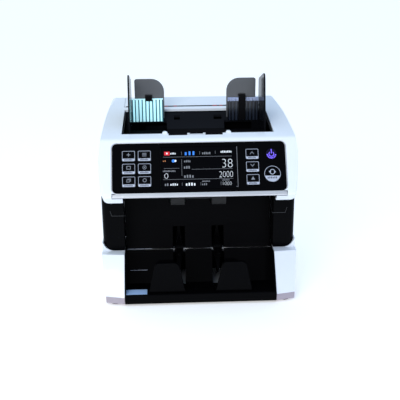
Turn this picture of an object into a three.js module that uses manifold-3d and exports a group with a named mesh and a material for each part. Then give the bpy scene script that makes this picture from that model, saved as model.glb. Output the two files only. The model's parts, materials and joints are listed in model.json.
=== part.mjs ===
// Front-loading banknote counter for a shop till, in millimetres.
// Frame: +X to the operator's right, +Y away from the operator, +Z up. The origin is on the
// table under the middle of the machine, so the rubber feet stand at z = 0.
import * as THREE from 'three';
import { mergeVertices } from 'three/addons/utils/BufferGeometryUtils.js';
import { ConvexGeometry } from 'three/addons/geometries/ConvexGeometry.js';
import Module from 'manifold-3d';

const wasm = await Module();
wasm.setup();

// ---- driving dimensions ----------------------------------------------------------------------

const GAP = 0.3; // clearance between pieces that meet
const WALL = 3; // moulded shell thickness
const FRONT_Y = -115;
const REAR_Y = 115;
const BOTTOM_Z = 3; // underside of the casing, held up by the feet
const BASE_HALF = 126.4; // half width of the lower casing where it meets the side panels
const FOOT_HALF = 120.6; // half width at the bottom: the legs lean in
const HEAD_HALF = 126.2; // half width of the head at its widest
const INNER_HALF = 97; // half the clear width between the legs
const WAIST_Z = 57.5; // top of the legs
const HEAD_Z = 133; // underside of the head's cheeks
const WAIST_Y = -68; // front face of the black side panels
const WAIST_REAR_Y = 48; // where the side shell rises behind them
const WAIST_RADIUS = 15;
const PANEL_OUTER = 125.3; // outer face of the black side panels

const HOPPER_HALF = 96;
const HOPPER_FRONT_Y = -59;
const HOPPER_REAR_Y = 31;
const RIM_REAR_Y = 41; // where the white rim behind the hopper ends
const COVER_FRONT_Y = 45; // the rear cover starts after a shadow gap
const FOLD = [11, 200]; // (y, z) where the hopper floor turns up into its back
const FLOOR_FRONT = [-56, 165];
const BACK_TOP = [30.5, 219.5];
const SHEET = 2.4;

const PANEL = { y: -90, z: 175, halfWidth: 108, halfHeight: 31.8, radius: 6.5, thick: 3 };
const PANEL_TILT = THREE.MathUtils.degToRad(60); // the panel leans back 30 degrees from upright
const SCREEN = { x: -0.1, v: -0.6, halfWidth: 47.8, halfHeight: 27 };
const KEY = { halfWidth: 8, halfHeight: 6.6, radius: 1.3, thick: 2, proud: 0.5 };
const KEY_ROWS = [15.6, -0.7, -16.9];
const KEY_COLUMNS = { a: -86.9, b: -67.4, c: 65.9 };
const POWER_KEY = { x: 90, v: 15.5, radius: 6.4 };
const RESTART_KEY = { x: 90.2, v: -10.2, radius: 10.2 };

const GUIDE = { inner: 43.4, outer: 85.2, frontY: 14.5, plateY: 16.5, backY: 18.5 };
const GUIDE_BOTTOM_Z = 209.8;
const GUIDE_TOP_Z = 241;
const FIN_THICK = 2;
const LUG = { from: 57.8, to: 67.2, frontY: 12, thick: 2.2, topZ: 245.5, shortZ: 238.4, longZ: 211.5 };
const RIBS = 9;
const RAIL = { y: 18, z: 191, radius: 3 };
const PINION = { y: 29, z: 190, teeth: 12, module: 1.25, width: 6 };
const PITCH_RADIUS = (PINION.teeth * PINION.module) / 2;
const TOOTH = { above: 1.1, below: 1.4, halfWide: 0.78, slope: 0.36 };

const SHAFT_RADIUS = 4;
const FRAME_IN = 98.5; // inner face of the steel side frames
const FRAME_THICK = 2;
const PULLEY = { from: 104, to: 112 };
const FEED = { y: -46, z: 126, roller: 14, pulley: 12 };
const PICKUP = { y: -38, z: 162.5, roller: 14, pulley: 10 };
const STACKER = { y: -30, z: 42, roller: 33.5, pulley: 12 };
const MOTOR = { y: 60, z: 42, roller: 18, pulley: 8 };
const ROLLER_X = 27; // middle of each rubber ring, either side of the centre line
const WHEEL = { x: 26, width: 12, hub: 12, tips: 8 };

const HINGE = { y: 111.3, z: 60, rod: 1.6, barrel: 3.4 };
const STOP = { x: 42.8, topHalf: 14.5, bottomHalf: 23.3, topZ: 55.5, y: -109.5, thick: 4.5 };

// ---- materials -------------------------------------------------------------------------------

function finish(color, roughness, metalness = 0) {
  return new THREE.MeshStandardMaterial({ color, roughness, metalness });
}
const WHITE = finish(0xeef3fa, 0.4);
const GLOSS_BLACK = finish(0x08080a, 0.12);
const BLACK = finish(0x141416, 0.45);
const SMOKE = finish(0x4a4d52, 0.2);
const RIBBED = finish(0xbfd4d8, 0.3);
const SILVER = finish(0xc9ccd0, 0.25, 0.9);
const STEEL = finish(0x9a9ea3, 0.35, 1);
const RUBBER = finish(0x1c1c1c, 0.9);
const BOARD = finish(0x1d5a37, 0.6);
const GLASS = finish(0x050608, 0.05);
const POWER_BLUE = finish(0x4437c8, 0.3);

// ---- outlines --------------------------------------------------------------------------------

// An outline is a list of corners [u, v] or [u, v, radius], anticlockwise.
const edge = (a, b) => new THREE.Vector2(b[0] - a[0], b[1] - a[1]).normalize();
const inward = (e) => new THREE.Vector2(-e.y, e.x);

// Moves every side of an outline inwards by distance, and keeps round corners concentric.
function inset(corners, distance) {
  return corners.map((corner, i) => {
    const before = edge(corners.at(i - 1), corner);
    const after = edge(corner, corners[(i + 1) % corners.length]);
    const [n1, n2] = [inward(before), inward(after)];
    const step = distance / (1 + n1.dot(n2));
    const turn = Math.sign(before.cross(after));
    const radius = corner[2] ? Math.max(corner[2] - turn * distance, 0.5) : 0;
    return [corner[0] + (n1.x + n2.x) * step, corner[1] + (n1.y + n2.y) * step, radius];
  });
}

// Turns corners into points, with arcs of `steps` chords per quarter turn at round corners.
function points(corners, steps = 4) {
  return corners.flatMap((corner, i) => {
    const [u, v, radius] = corner;
    if (!radius) return [new THREE.Vector2(u, v)];
    const before = edge(corners.at(i - 1), corner);
    const after = edge(corner, corners[(i + 1) % corners.length]);
    const sweep = Math.atan2(before.cross(after), before.dot(after));
    const [n1, n2] = [inward(before), inward(after)];
    const reach = (Math.sign(sweep) * radius) / (1 + n1.dot(n2));
    const centre = new THREE.Vector2(u + (n1.x + n2.x) * reach, v + (n1.y + n2.y) * reach);
    const start = n1.clone().multiplyScalar(-Math.sign(sweep) * radius);
    const count = Math.max(1, Math.ceil((Math.abs(sweep) / (Math.PI / 2)) * steps));
    return Array.from({ length: count + 1 }, (_, k) =>
      start.clone().rotateAround(new THREE.Vector2(), (sweep * k) / count).add(centre));
  });
}

const rectangle = (u0, u1, v0, v1, r = 0) => [[u0, v0, r], [u1, v0, r], [u1, v1, r], [u0, v1, r]];

function slab(outline, depth, steps) {
  const shape = new THREE.Shape(points(outline, steps));
  return new THREE.ExtrudeGeometry(shape, { depth, bevelEnabled: false });
}

// The outline is drawn in (y, z) and swept from x0 to x1.
function alongX(outline, x0, x1, steps) {
  const axes = new THREE.Matrix4().set(0, 0, 1, x0, 1, 0, 0, 0, 0, 1, 0, 0, 0, 0, 0, 1);
  return slab(outline, x1 - x0, steps).applyMatrix4(axes);
}

// The outline is drawn in (x, z) and swept from y0 to y1.
function alongY(outline, y0, y1, steps) {
  const axes = new THREE.Matrix4().set(1, 0, 0, 0, 0, 0, -1, y1, 0, 1, 0, 0, 0, 0, 0, 1);
  return slab(outline, y1 - y0, steps).applyMatrix4(axes);
}

// The outline is drawn in (x, y) and swept from z0 to z1.
function alongZ(outline, z0, z1, steps) {
  return slab(outline, z1 - z0, steps).translate(0, 0, z0);
}

function box(x0, x1, y0, y1, z0, z1) {
  return new THREE.BoxGeometry(x1 - x0, y1 - y0, z1 - z0)
    .translate((x0 + x1) / 2, (y0 + y1) / 2, (z0 + z1) / 2);
}

// A cylinder along X from x0 to x1 round (y, z).
function rod(radius, x0, x1, y = 0, z = 0, sides = 16) {
  return new THREE.CylinderGeometry(radius, radius, x1 - x0, sides)
    .rotateZ(Math.PI / 2).translate((x0 + x1) / 2, y, z);
}

// ---- joining and cutting ---------------------------------------------------------------------

function solidOf(geometry) {
  const bare = geometry.clone();
  bare.deleteAttribute('normal');
  bare.deleteAttribute('uv');
  const merged = mergeVertices(bare, 1e-4);
  return new wasm.Manifold(new wasm.Mesh({
    numProp: 3,
    vertProperties: new Float32Array(merged.attributes.position.array),
    triVerts: new Uint32Array(merged.index.array),
  }));
}

function geometryOf(solid) {
  const { vertProperties, triVerts } = solid.getMesh();
  const geometry = new THREE.BufferGeometry();
  geometry.setAttribute('position', new THREE.BufferAttribute(vertProperties, 3));
  geometry.setIndex(new THREE.BufferAttribute(triVerts, 1));
  geometry.computeVertexNormals();
  return geometry;
}

const combine = (how) => (first, ...rest) =>
  geometryOf(rest.map(solidOf).reduce((made, next) => made[how](next), solidOf(first)));
const join = combine('add');
const cut = combine('subtract');
const overlapOf = combine('intersect');

function mesh(name, geometry, material) {
  const made = new THREE.Mesh(geometry, material);
  made.name = name;
  return made;
}

// A left-hand copy of a right-hand shape.
function mirrorX(geometry) {
  const copy = geometryOf(solidOf(geometry)).scale(-1, 1, 1);
  const order = copy.index.array;
  for (let i = 0; i < order.length; i += 3) [order[i], order[i + 1]] = [order[i + 1], order[i]];
  return copy;
}

// The same right-hand shape twice, the left one mirrored across the middle plane.
function pair(name, geometry, material) {
  const right = mesh(`${name}_right`, geometry, material);
  const left = mesh(`${name}_left`, geometry, material);
  left.scale.x = -1;
  return [left, right];
}

// ---- head ------------------------------------------------------------------------------------

const COVER_TOP = [78, 230.2];
const HEAD_SIDE = [
  [-99, HEAD_Z, 3], [REAR_Y, HEAD_Z], [REAR_Y, 230.6, 32], COVER_TOP,
  [HOPPER_FRONT_Y, 210.8], [-73, 207.5, 6], [-107, 148.6], [-108.5, 143.5, 3],
];
const HEAD_FRONT = [
  [PANEL_OUTER, HEAD_Z], [HEAD_HALF, 150, 30], [HEAD_HALF, 172, 60], [119, 226, 16], [100, 235],
  [-100, 235], [-119, 226, 16], [-HEAD_HALF, 172, 60], [-HEAD_HALF, 150, 30], [-PANEL_OUTER, HEAD_Z],
];
const TAPER_Y = -72; // in front of here the head narrows towards the operator
const TAPER_TURN = 0.22;
const NOSE_HALF = HEAD_HALF - Math.tan(TAPER_TURN) * (TAPER_Y + 112);
const PLAN = [
  [-NOSE_HALF, -112, 8], [NOSE_HALF, -112, 8], [HEAD_HALF, TAPER_Y, 60],
  [HEAD_HALF, REAR_Y, 16], [-HEAD_HALF, REAR_Y, 16], [-HEAD_HALF, TAPER_Y, 60],
];
const DOOR_HALF = INNER_HALF - 0.4;

function headBlock(distance) {
  return overlapOf(
    alongX(inset(HEAD_SIDE, distance), -130, 130, 7),
    alongY(inset(HEAD_FRONT, distance), -130, 130, 6),
    alongZ(inset(PLAN, distance), 100, 260, 6),
  );
}

function circle(u, v, radius, sides = 20) {
  return Array.from({ length: sides }, (_, k) => {
    const angle = (2 * Math.PI * k) / sides;
    return [u + radius * Math.cos(angle), v + radius * Math.sin(angle)];
  });
}

// What rounds off the lower corner of the right-hand cheek, along its tapered face.
function cheekCorner() {
  const radius = 10;
  const z = HEAD_Z + radius;
  const block = box(-radius, radius, -60, 4, HEAD_Z - radius, z);
  return cut(block, alongY(circle(-radius, z, radius, 40), -61, 5))
    .rotateZ(-TAPER_TURN).translate(HEAD_HALF, TAPER_Y, 0);
}

function headShell() {
  return cut(
    headBlock(0),
    headBlock(WALL),
    box(-118, 118, -94, 111, HEAD_Z - 1, HEAD_Z + 8), // open underneath
    box(-95, 95, -120, -60, HEAD_Z - 1, 141.5), // the cheeks reach lower than the middle
    box(-HOPPER_HALF, HOPPER_HALF, HOPPER_FRONT_Y, HOPPER_REAR_Y, 150, 240), // hopper mouth
    box(-INNER_HALF, INNER_HALF, RIM_REAR_Y, 130, HEAD_Z - 1, 240), // rear cover opening
    box(-37, 31, -64, HOPPER_FRONT_Y + 1, 206.5, 215), // finger notch in the hopper's front edge
    onPanel(slab(panelOutline(-GAP - 0.2), 20).translate(0, 0, -12)),
    box(-108, 108, -120, -99.5, HEAD_Z + 8, 148.2), // bed of the front trim
    cheekCorner(),
    mirrorX(cheekCorner()),
  );
}

// A geometry drawn on the tilted panel: x across, y up the panel, z outwards.
function onPanel(geometry) {
  return geometry.rotateX(PANEL_TILT).translate(0, PANEL.y, PANEL.z);
}

function panelOutline(distance) {
  const { halfWidth, halfHeight, radius } = PANEL;
  return inset(rectangle(-halfWidth, halfWidth, -halfHeight, halfHeight, radius), distance);
}

const TRIM = [
  [-107.4, 142], [-100, 142], [-100, 145.5], [-103.2, 145.5], [-106.3, 147.2], [-108.4, 144, 1.5],
];

function headPieces() {
  const underside = [[-99.6, 141.9], [-98, 138.6], [-66, 134.5], [-66, 136.5], [-98, 141.9]];
  return [
    mesh('head_shell', headShell(), WHITE),
    mesh('front_trim', alongX(TRIM, -107.4, 107.4), SILVER),
    mesh('head_underside', alongX(underside, -94.5, 94.5), BLACK),
  ];
}

// ---- control panel ---------------------------------------------------------------------------

function screenOutline(distance) {
  const { x, v, halfWidth, halfHeight } = SCREEN;
  return inset(rectangle(x - halfWidth, x + halfWidth, v - halfHeight, v + halfHeight), distance);
}

function keyOutline(distance) {
  const { halfWidth, halfHeight, radius } = KEY;
  return inset(rectangle(-halfWidth, halfWidth, -halfHeight, halfHeight, radius), distance);
}

const KEY_PLACES = Object.entries(KEY_COLUMNS).flatMap(([column, x]) =>
  KEY_ROWS.map((v, row) => ({ name: `key_${column}${row + 1}`, x, v })));

function panelGroup() {
  const group = new THREE.Group();
  group.position.set(0, PANEL.y, PANEL.z);
  group.rotation.x = PANEL_TILT;

  const hole = (outline, { x, v }) => slab(outline, 20, 3).translate(x, v, -10);
  const plate = cut(
    slab(panelOutline(0), PANEL.thick).translate(0, 0, -PANEL.thick),
    slab(screenOutline(0), 20).translate(0, 0, -10),
    ...KEY_PLACES.map((place) => hole(keyOutline(-GAP), place)),
    ...[POWER_KEY, RESTART_KEY].map((key) => hole(circle(0, 0, key.radius + GAP, 24), key)),
  );
  group.add(mesh('control_panel', plate, GLOSS_BLACK));

  const screen = slab(screenOutline(GAP), 5).translate(0, 0, -5.2);
  group.add(mesh('display_module', screen, GLASS));

  const back = -5.6;
  const carrier = cut(
    join(
      slab(rectangle(-112, 112, -30, 33, 3), 1.8).translate(0, 0, back),
      slab(screenOutline(2), 2.9).translate(0, 0, back - 2.4),
    ),
    slab(screenOutline(-1), 3).translate(0, 0, back + 0.2),
  );
  group.add(mesh('key_board', carrier, BOARD));

  const addKey = (name, outline, { x, v }, material) => {
    const key = mesh(name, slab(outline, KEY.thick, 3), material);
    key.position.set(x, v, KEY.proud - KEY.thick);
    group.add(key);
  };
  for (const place of KEY_PLACES) addKey(place.name, keyOutline(0), place, GLOSS_BLACK);
  addKey('key_power', circle(0, 0, POWER_KEY.radius, 24), POWER_KEY, POWER_BLUE);
  addKey('key_restart', circle(0, 0, RESTART_KEY.radius, 24), RESTART_KEY, GLOSS_BLACK);
  return group;
}

// ---- hopper ----------------------------------------------------------------------------------

// A bent sheet through the given (y, z) line, its thickness to the right of the way it runs.
function sheetOutline(line, thick) {
  const side = (i) => {
    const before = edge(line[Math.max(i - 1, 0)], line[Math.max(i, 1)]);
    const after = edge(line[Math.min(i, line.length - 2)], line[Math.min(i + 1, line.length - 1)]);
    const [n1, n2] = [inward(before), inward(after)];
    const step = -thick / (1 + n1.dot(n2));
    return [line[i][0] + (n1.x + n2.x) * step, line[i][1] + (n1.y + n2.y) * step];
  };
  return [...line.map((_, i) => side(i)), ...line.toReversed()];
}

const HOPPER_LINE = [FLOOR_FRONT, FOLD, BACK_TOP];

function hopperPieces() {
  const lining = HOPPER_HALF - GAP;
  const frontY = HOPPER_FRONT_Y + 1;
  const cheek = [FLOOR_FRONT, FOLD, BACK_TOP, [frontY, 207.5], [frontY, 163.5]];
  const tray = cut(
    join(
      alongX(sheetOutline(HOPPER_LINE, SHEET), -lining, lining),
      alongX(cheek, lining - 1.8, lining),
      alongX(cheek, -lining, 1.8 - lining),
    ),
    box(39, 88.2, 10, 21, 196, 214), // slots that the guides' arms run in
    box(-88.2, -39, 10, 21, 196, 214),
    box(25, 36, 22, 27, 200, 230), // sensor windows
    box(-29, -21, 22, 27, 200, 230),
    box(15, 39, -54, -20, 150, 195), // the pickup rings come up through the floor
    box(-39, -15, -54, -20, 150, 195),
  );
  const front = cut(
    box(-93.5, 93.5, -62, -59.5, 168, 206),
    box(-37, 31, -63, -59, 203.5, 210),
  );
  return [mesh('hopper_tray', tray, BLACK), mesh('hopper_front', front, BLACK)];
}

// ---- note guides -----------------------------------------------------------------------------

function rackTeeth(count) {
  const pitch = Math.PI * PINION.module;
  const { above, below, halfWide, slope } = TOOTH;
  const teeth = Array.from({ length: count }, (_, k) => {
    const u = (k + 0.5) * pitch;
    const [wide, narrow] = [halfWide + below * slope, halfWide - above * slope];
    return [[u - wide, -below], [u - narrow, above], [u + narrow, above], [u + wide, -below]];
  }).flat();
  return { teeth, length: count * pitch };
}

// Reverses an outline that runs clockwise.
function orient(outline) {
  const shape = outline.map(([u, v]) => new THREE.Vector2(u, v));
  return THREE.ShapeUtils.area(shape) < 0 ? outline.toReversed() : outline;
}

// The rack of the right-hand guide, below the pinion, with the web that carries it.
function rack() {
  const { teeth, length } = rackTeeth(13);
  const start = -2 * Math.PI * PINION.module;
  const end = start + length;
  const top = PINION.z - PITCH_RADIUS;
  const bar = [
    ...teeth.map(([u, v]) => [start + u, top + v]),
    [end, top - TOOTH.below], [end, top - 5], [start, top - 5], [start, top - TOOTH.below],
  ];
  return join(alongY(orient(bar), 24, 32), box(end - 1, 68, 23, 25, top - 5, 194));
}

// Fin, arm through the slot, carriage on the rail and rack. The left rack runs above the pinion.
function guideFrame(side) {
  const { backY, plateY, outer } = GUIDE;
  const far = outer + GAP + FIN_THICK;
  const fin = [[-52, 170.5], [9.5, 203.3], [22, 215.2], [22, 266, 4], [-30, 281, 7], [-34, 268]];
  const carriage = cut(
    join(
      alongX(fin, outer + GAP, far),
      box(76, far, plateY - 1, backY - 0.3, 194, GUIDE_BOTTOM_Z - GAP),
      box(66, far, 11, 25, 184, 195.5),
    ),
    rod(RAIL.radius + 0.35, 60, 90, RAIL.y, RAIL.z),
  );
  if (side > 0) return join(carriage, rack());
  const turned = rack().translate(0, 0, -PINION.z).scale(-1, 1, -1).translate(0, 0, PINION.z);
  return join(mirrorX(carriage), turned);
}

// The ribbed back plate of a guide.
function guidePlate() {
  const { inner, outer, frontY, plateY, backY } = GUIDE;
  const pitch = (outer - inner) / RIBS;
  const ribs = Array.from({ length: RIBS + 1 }, (_, k) => {
    const x = THREE.MathUtils.clamp(inner + k * pitch - 0.8, inner, outer - 1.6);
    return box(x, x + 1.6, frontY, plateY + 0.1, GUIDE_BOTTOM_Z, GUIDE_TOP_Z - 1);
  });
  return join(box(inner, outer, plateY, backY, GUIDE_BOTTOM_Z, GUIDE_TOP_Z), ...ribs);
}

// A plate that pulls up behind the ribbed plate. Its lug hooks over the top and hangs in front.
function extensionPlate(lugBottomZ) {
  const plate = [[41.8, 214], [81.2, 214], [81.2, 267, 3], [41.8, 267, 17]];
  const { from, to, frontY, thick, topZ } = LUG;
  const plateY = GUIDE.backY + 0.5;
  return join(
    alongY(plate, plateY, plateY + 2, 8),
    box(from, to, frontY, plateY + 0.5, GUIDE_TOP_Z + GAP, topZ),
    box(from, to, frontY, frontY + thick, lugBottomZ, topZ),
  );
}

function pinion() {
  const { teeth: count, width } = PINION;
  const { above, below, halfWide, slope } = TOOTH;
  const root = PITCH_RADIUS - below;
  const gear = Array.from({ length: count }, (_, k) => {
    const angle = (2 * Math.PI * k) / count;
    const [wide, narrow] = [halfWide + below * slope, halfWide - above * slope];
    const tip = PITCH_RADIUS + above;
    const tooth = [[-wide, root], [-narrow, tip], [narrow, tip], [wide, root]];
    const turned = ([u, v]) => new THREE.Vector2(u, v).rotateAround(new THREE.Vector2(), -angle);
    return tooth.map((corner) => turned(corner).toArray());
  }).flat();
  return cut(
    alongY(orient(gear), -width / 2, width / 2),
    alongY(circle(0, 0, 2.4, 12), -width, width),
  );
}

function guidePieces() {
  const gear = mesh('guide_pinion', pinion(), BLACK);
  gear.position.set(0, PINION.y, PINION.z);
  return [
    mesh('guide_right', guideFrame(1), SMOKE),
    mesh('guide_left', guideFrame(-1), SMOKE),
    gear,
    mesh('guide_rail', rod(RAIL.radius, -93.5, 93.5, RAIL.y, RAIL.z), STEEL),
    ...pair('guide_plate', guidePlate(), RIBBED),
    mesh('extension_right', extensionPlate(LUG.longZ), SMOKE),
    mesh('extension_left', mirrorX(extensionPlate(LUG.shortZ)), SMOKE),
  ];
}

// ---- lower casing ----------------------------------------------------------------------------

function leg() {
  const corners = [
    [INNER_HALF, FRONT_Y, BOTTOM_Z], [INNER_HALF, FRONT_Y + 1, 13], [INNER_HALF, -83, WAIST_Z],
    [FOOT_HALF, -109, BOTTOM_Z], [FOOT_HALF + 0.8, -108, 19], [BASE_HALF, -80, WAIST_Z],
    [INNER_HALF, -66, BOTTOM_Z], [FOOT_HALF, -66, BOTTOM_Z],
    [INNER_HALF, -66, WAIST_Z], [BASE_HALF, -66, WAIST_Z],
  ];
  return new ConvexGeometry(corners.map((corner) => new THREE.Vector3(...corner)));
}

function sideShell() {
  const body = [
    [-67, BOTTOM_Z], [REAR_Y, BOTTOM_Z], [REAR_Y, HEAD_Z - GAP], [WAIST_REAR_Y, HEAD_Z - GAP],
    [WAIST_REAR_Y, WAIST_Z], [-67, WAIST_Z],
  ];
  const plan = (distance) => inset([
    [60, -150], [BASE_HALF, -150], [BASE_HALF, REAR_Y, 14], [60, REAR_Y],
  ], distance);
  const hornZ = WAIST_Z + GAP + WAIST_RADIUS;
  const hornX = PANEL_OUTER - WAIST_RADIUS;
  const horn = cut(
    box(hornX, BASE_HALF, WAIST_Y, WAIST_REAR_Y + 1, WAIST_Z - 1, hornZ - 4),
    alongY(circle(hornX, hornZ, WAIST_RADIUS + 0.45, 36), -90, 90),
  );
  const lower = [
    [-62, 6], [REAR_Y - WALL, 6], [REAR_Y - WALL, WAIST_Z - WALL], [-62, WAIST_Z - WALL],
  ];
  const upper = [[WAIST_REAR_Y + WALL, 6], [130, 6], [130, 150], [WAIST_REAR_Y + WALL, 150]];
  const flank = (distance) => alongY([
    [90, BOTTOM_Z], [FOOT_HALF - distance, BOTTOM_Z], [BASE_HALF - distance, WAIST_Z],
    [BASE_HALF - distance, HEAD_Z], [90, HEAD_Z],
  ], -130, 130);
  const hollow = (outline) =>
    overlapOf(alongX(outline, 90, 130), alongZ(plan(WALL), 0, 200), flank(WALL));
  const block = overlapOf(
    alongX(body, INNER_HALF, BASE_HALF),
    flank(0),
    alongZ(plan(0), 0, 200, 7),
  );
  return cut(
    join(leg(), block, horn),
    hollow(lower),
    hollow(upper),
    box(90, 113.5, -59, WAIST_REAR_Y + WALL + 1, WAIST_Z - WALL - 1, 140), // frame, belt, pulleys
  );
}

function sidePanel() {
  const outer = PANEL_OUTER;
  const skin = 2.2;
  const depth = WAIST_REAR_Y - GAP;
  const plan = [
    [INNER_HALF, WAIST_Y], [outer, WAIST_Y, 9], [outer, depth], [outer - skin, depth],
    [outer - skin, WAIST_Y + skin, 7], [INNER_HALF, WAIST_Y + skin],
  ];
  const front = [
    [INNER_HALF - 1, WAIST_Z + GAP], [outer, WAIST_Z + GAP, WAIST_RADIUS],
    [outer, HEAD_Z - GAP], [INNER_HALF - 1, HEAD_Z - GAP],
  ];
  const pocketSide = box(INNER_HALF, INNER_HALF + 1.2, WAIST_Y, -36, WAIST_Z + GAP, HEAD_Z - GAP);
  return join(
    overlapOf(alongZ(plan, 50, 140), alongY(front, -80, 60, 6)),
    cut(pocketSide, alongX(circle(FEED.y, FEED.z, SHAFT_RADIUS + 1, 12), 90, 110)),
  );
}

const TRAY_HALF = INNER_HALF - 0.4;
const TRAY_LINE = [[-98, 9], [-66, 9], [-59, 23.5], [-49, 50]];
const CHUTE_LINE = [[-47.6, 50.6], [-38.5, 84], [-33, 130]];

function outputTray() {
  const lip = [[FRONT_Y, BOTTOM_Z], [-97.4, BOTTOM_Z], [-97.4, 15], [FRONT_Y, 15, 1.5]];
  const cheek = [
    [-114.6, 6.5], [-98, 6.5], [-66, 6.6], [-48, 50],
    [-48, WAIST_Z], [-83.6, WAIST_Z], [-114.6, 13.8],
  ];
  return cut(
    join(
      alongX(sheetOutline(TRAY_LINE, 2.4), -TRAY_HALF, TRAY_HALF),
      alongX(lip, -TRAY_HALF, TRAY_HALF),
      alongX(cheek, TRAY_HALF - 1.6, TRAY_HALF),
      alongX(cheek, -TRAY_HALF, 1.6 - TRAY_HALF),
    ),
    ...wheelSlots(),
  );
}

function wheelSlots() {
  const half = WHEEL.width / 2 + 2;
  const slot = (x) => box(x - half, x + half, -70, -24, 6.5, 79);
  return [slot(WHEEL.x), slot(-WHEEL.x)];
}

function stopPlate() {
  const { topHalf, bottomHalf, topZ, y, thick } = STOP;
  const face = [[-bottomHalf, 15.4], [bottomHalf, 15.4], [topHalf, topZ, 7], [-topHalf, topZ, 7]];
  return join(
    alongY(face, y, y + thick, 8),
    box(-bottomHalf, bottomHalf, y, -99, 15.4, 17.6),
  );
}

function casingPieces() {
  const stops = [-1, 1].map((side) => {
    const stop = mesh(side < 0 ? 'stop_left' : 'stop_right', stopPlate(), GLOSS_BLACK);
    stop.position.x = side * STOP.x;
    return stop;
  });
  const ringWindow = (x) => box(x - 10.5, x + 10.5, -60, -20, 111, 140);
  const chute = cut(
    alongX(sheetOutline(CHUTE_LINE, 2), -TRAY_HALF, TRAY_HALF),
    ...wheelSlots(), ringWindow(ROLLER_X), ringWindow(-ROLLER_X),
  );
  const feet = [['front', 102, -100], ['rear', 106, 98]].flatMap(([place, x, y]) =>
    [-1, 1].map((side) => {
      const shape = alongZ(circle(0, 0, 8, 16), 0, BOTTOM_Z - GAP);
      const foot = mesh(`foot_${place}_${side < 0 ? 'left' : 'right'}`, shape, RUBBER);
      foot.position.set(side * (place === 'front' ? x + 6 : x), y, 0);
      return foot;
    }));
  return [
    ...pair('side_shell', sideShell(), WHITE),
    ...pair('side_panel', sidePanel(), GLOSS_BLACK),
    mesh('output_tray', outputTray(), GLOSS_BLACK),
    mesh('chute_plate', chute, BLACK),
    mesh('base_pan', box(-TRAY_HALF, TRAY_HALF, -97, 111.4, BOTTOM_Z, 6), STEEL),
    ...stops,
    ...feet,
  ];
}

// ---- transport and drive ---------------------------------------------------------------------

const PULLEYS = [FEED, PICKUP, STACKER, MOTOR];

// The belt's line is the convex outline round all four pulleys.
function beltOutline(extra) {
  const around = PULLEYS.flatMap(({ y, z, pulley }) => circle(y, z, pulley + extra, 16));
  around.sort((a, b) => a[0] - b[0] || a[1] - b[1]);
  const turn = (o, a, b) => (a[0] - o[0]) * (b[1] - o[1]) - (a[1] - o[1]) * (b[0] - o[0]);
  const half = (list) => {
    const chain = [];
    for (const point of list) {
      while (chain.length > 1 && turn(chain.at(-2), chain.at(-1), point) <= 1e-6) chain.pop();
      chain.push(point);
    }
    return chain.slice(0, -1);
  };
  return [...half(around), ...half(around.toReversed())];
}

function driveBelt() {
  const { from, to } = PULLEY;
  const ring = (extra, x0, x1) => alongX(beltOutline(extra), x0, x1);
  return cut(ring(1.8, from + 1, to - 1), ring(0.4, from - 1, to + 1));
}

// A shaft along X with a pulley at its right-hand end, in a group at the shaft's own place.
function shaft(name, { y, z, pulley }) {
  const group = new THREE.Group();
  group.position.set(0, y, z);
  const shape = join(
    rod(SHAFT_RADIUS, -103, PULLEY.to, 0, 0, 12),
    rod(pulley, PULLEY.from, PULLEY.to, 0, 0, 20),
  );
  group.add(mesh(name, shape, STEEL));
  return group;
}

// Two rubber rings on one sleeve.
function rollerSleeve(radius) {
  const sleeve = 6.5;
  const half = 9;
  return cut(
    join(
      rod(sleeve, -ROLLER_X - half, ROLLER_X + half, 0, 0, 16),
      rod(radius, -ROLLER_X - half, -ROLLER_X + half, 0, 0, 28),
      rod(radius, ROLLER_X - half, ROLLER_X + half, 0, 0, 28),
    ),
    rod(SHAFT_RADIUS + GAP, -50, 50, 0, 0, 12),
  );
}

// A hub with curved fingers that taper to points and carry each note down to the tray.
function stackerWheel() {
  const { hub, width, tips } = WHEEL;
  const reach = STACKER.roller;
  const finger = () => {
    const across = [[-width / 2, 0], [width / 2, 0], [1, reach], [-1, reach]];
    const bend = [[-1, 0], [5, 0], [-2, reach + 1], [-4.5, reach + 1]];
    return overlapOf(alongY(across, -20, 20), alongX(bend, -20, 20));
  };
  const turn = (k) => (2 * Math.PI * k) / tips + 0.52;
  const fingers = Array.from({ length: tips }, (_, k) => finger().rotateX(turn(k)));
  return cut(
    join(rod(hub, -width / 2, width / 2, 0, 0, 20), ...fingers),
    rod(SHAFT_RADIUS + GAP, -30, 30, 0, 0, 12),
  );
}

function sideFrame() {
  const plate = [[-58, 8], [100, 8], [100, 110, 8], [-10, 182, 8], [-56, 182, 8]];
  const holes = PULLEYS.map(({ y, z }) => alongX(circle(y, z, SHAFT_RADIUS + 0.5, 16), 90, 110));
  return cut(alongX(plate, FRAME_IN, FRAME_IN + FRAME_THICK), ...holes);
}

function drivePieces() {
  const feed = shaft('feed_shaft', FEED);
  feed.add(mesh('feed_roller', rollerSleeve(FEED.roller), RUBBER));
  const pickup = shaft('pickup_shaft', PICKUP);
  pickup.add(mesh('pickup_roller', rollerSleeve(PICKUP.roller), RUBBER));
  const stacker = shaft('stacker_shaft', STACKER);
  for (const side of [-1, 1]) {
    const name = side < 0 ? 'stacker_wheel_left' : 'stacker_wheel_right';
    const wheel = mesh(name, stackerWheel(), BLACK);
    wheel.position.x = side * WHEEL.x;
    stacker.add(wheel);
  }
  const rotor = new THREE.Group();
  rotor.position.set(0, MOTOR.y, MOTOR.z);
  const rotorShape = join(rod(3, 96, 112, 0, 0, 12), rod(MOTOR.pulley, 104, 112, 0, 0, 20));
  rotor.add(mesh('motor_pulley', rotorShape, STEEL));
  return [
    feed, pickup, stacker, rotor,
    mesh('drive_motor', rod(MOTOR.roller, 44, 95.5, MOTOR.y, MOTOR.z, 24), STEEL),
    mesh('drive_belt', driveBelt(), RUBBER),
    ...pair('side_frame', sideFrame(), STEEL),
  ];
}

// ---- rear ------------------------------------------------------------------------------------

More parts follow.
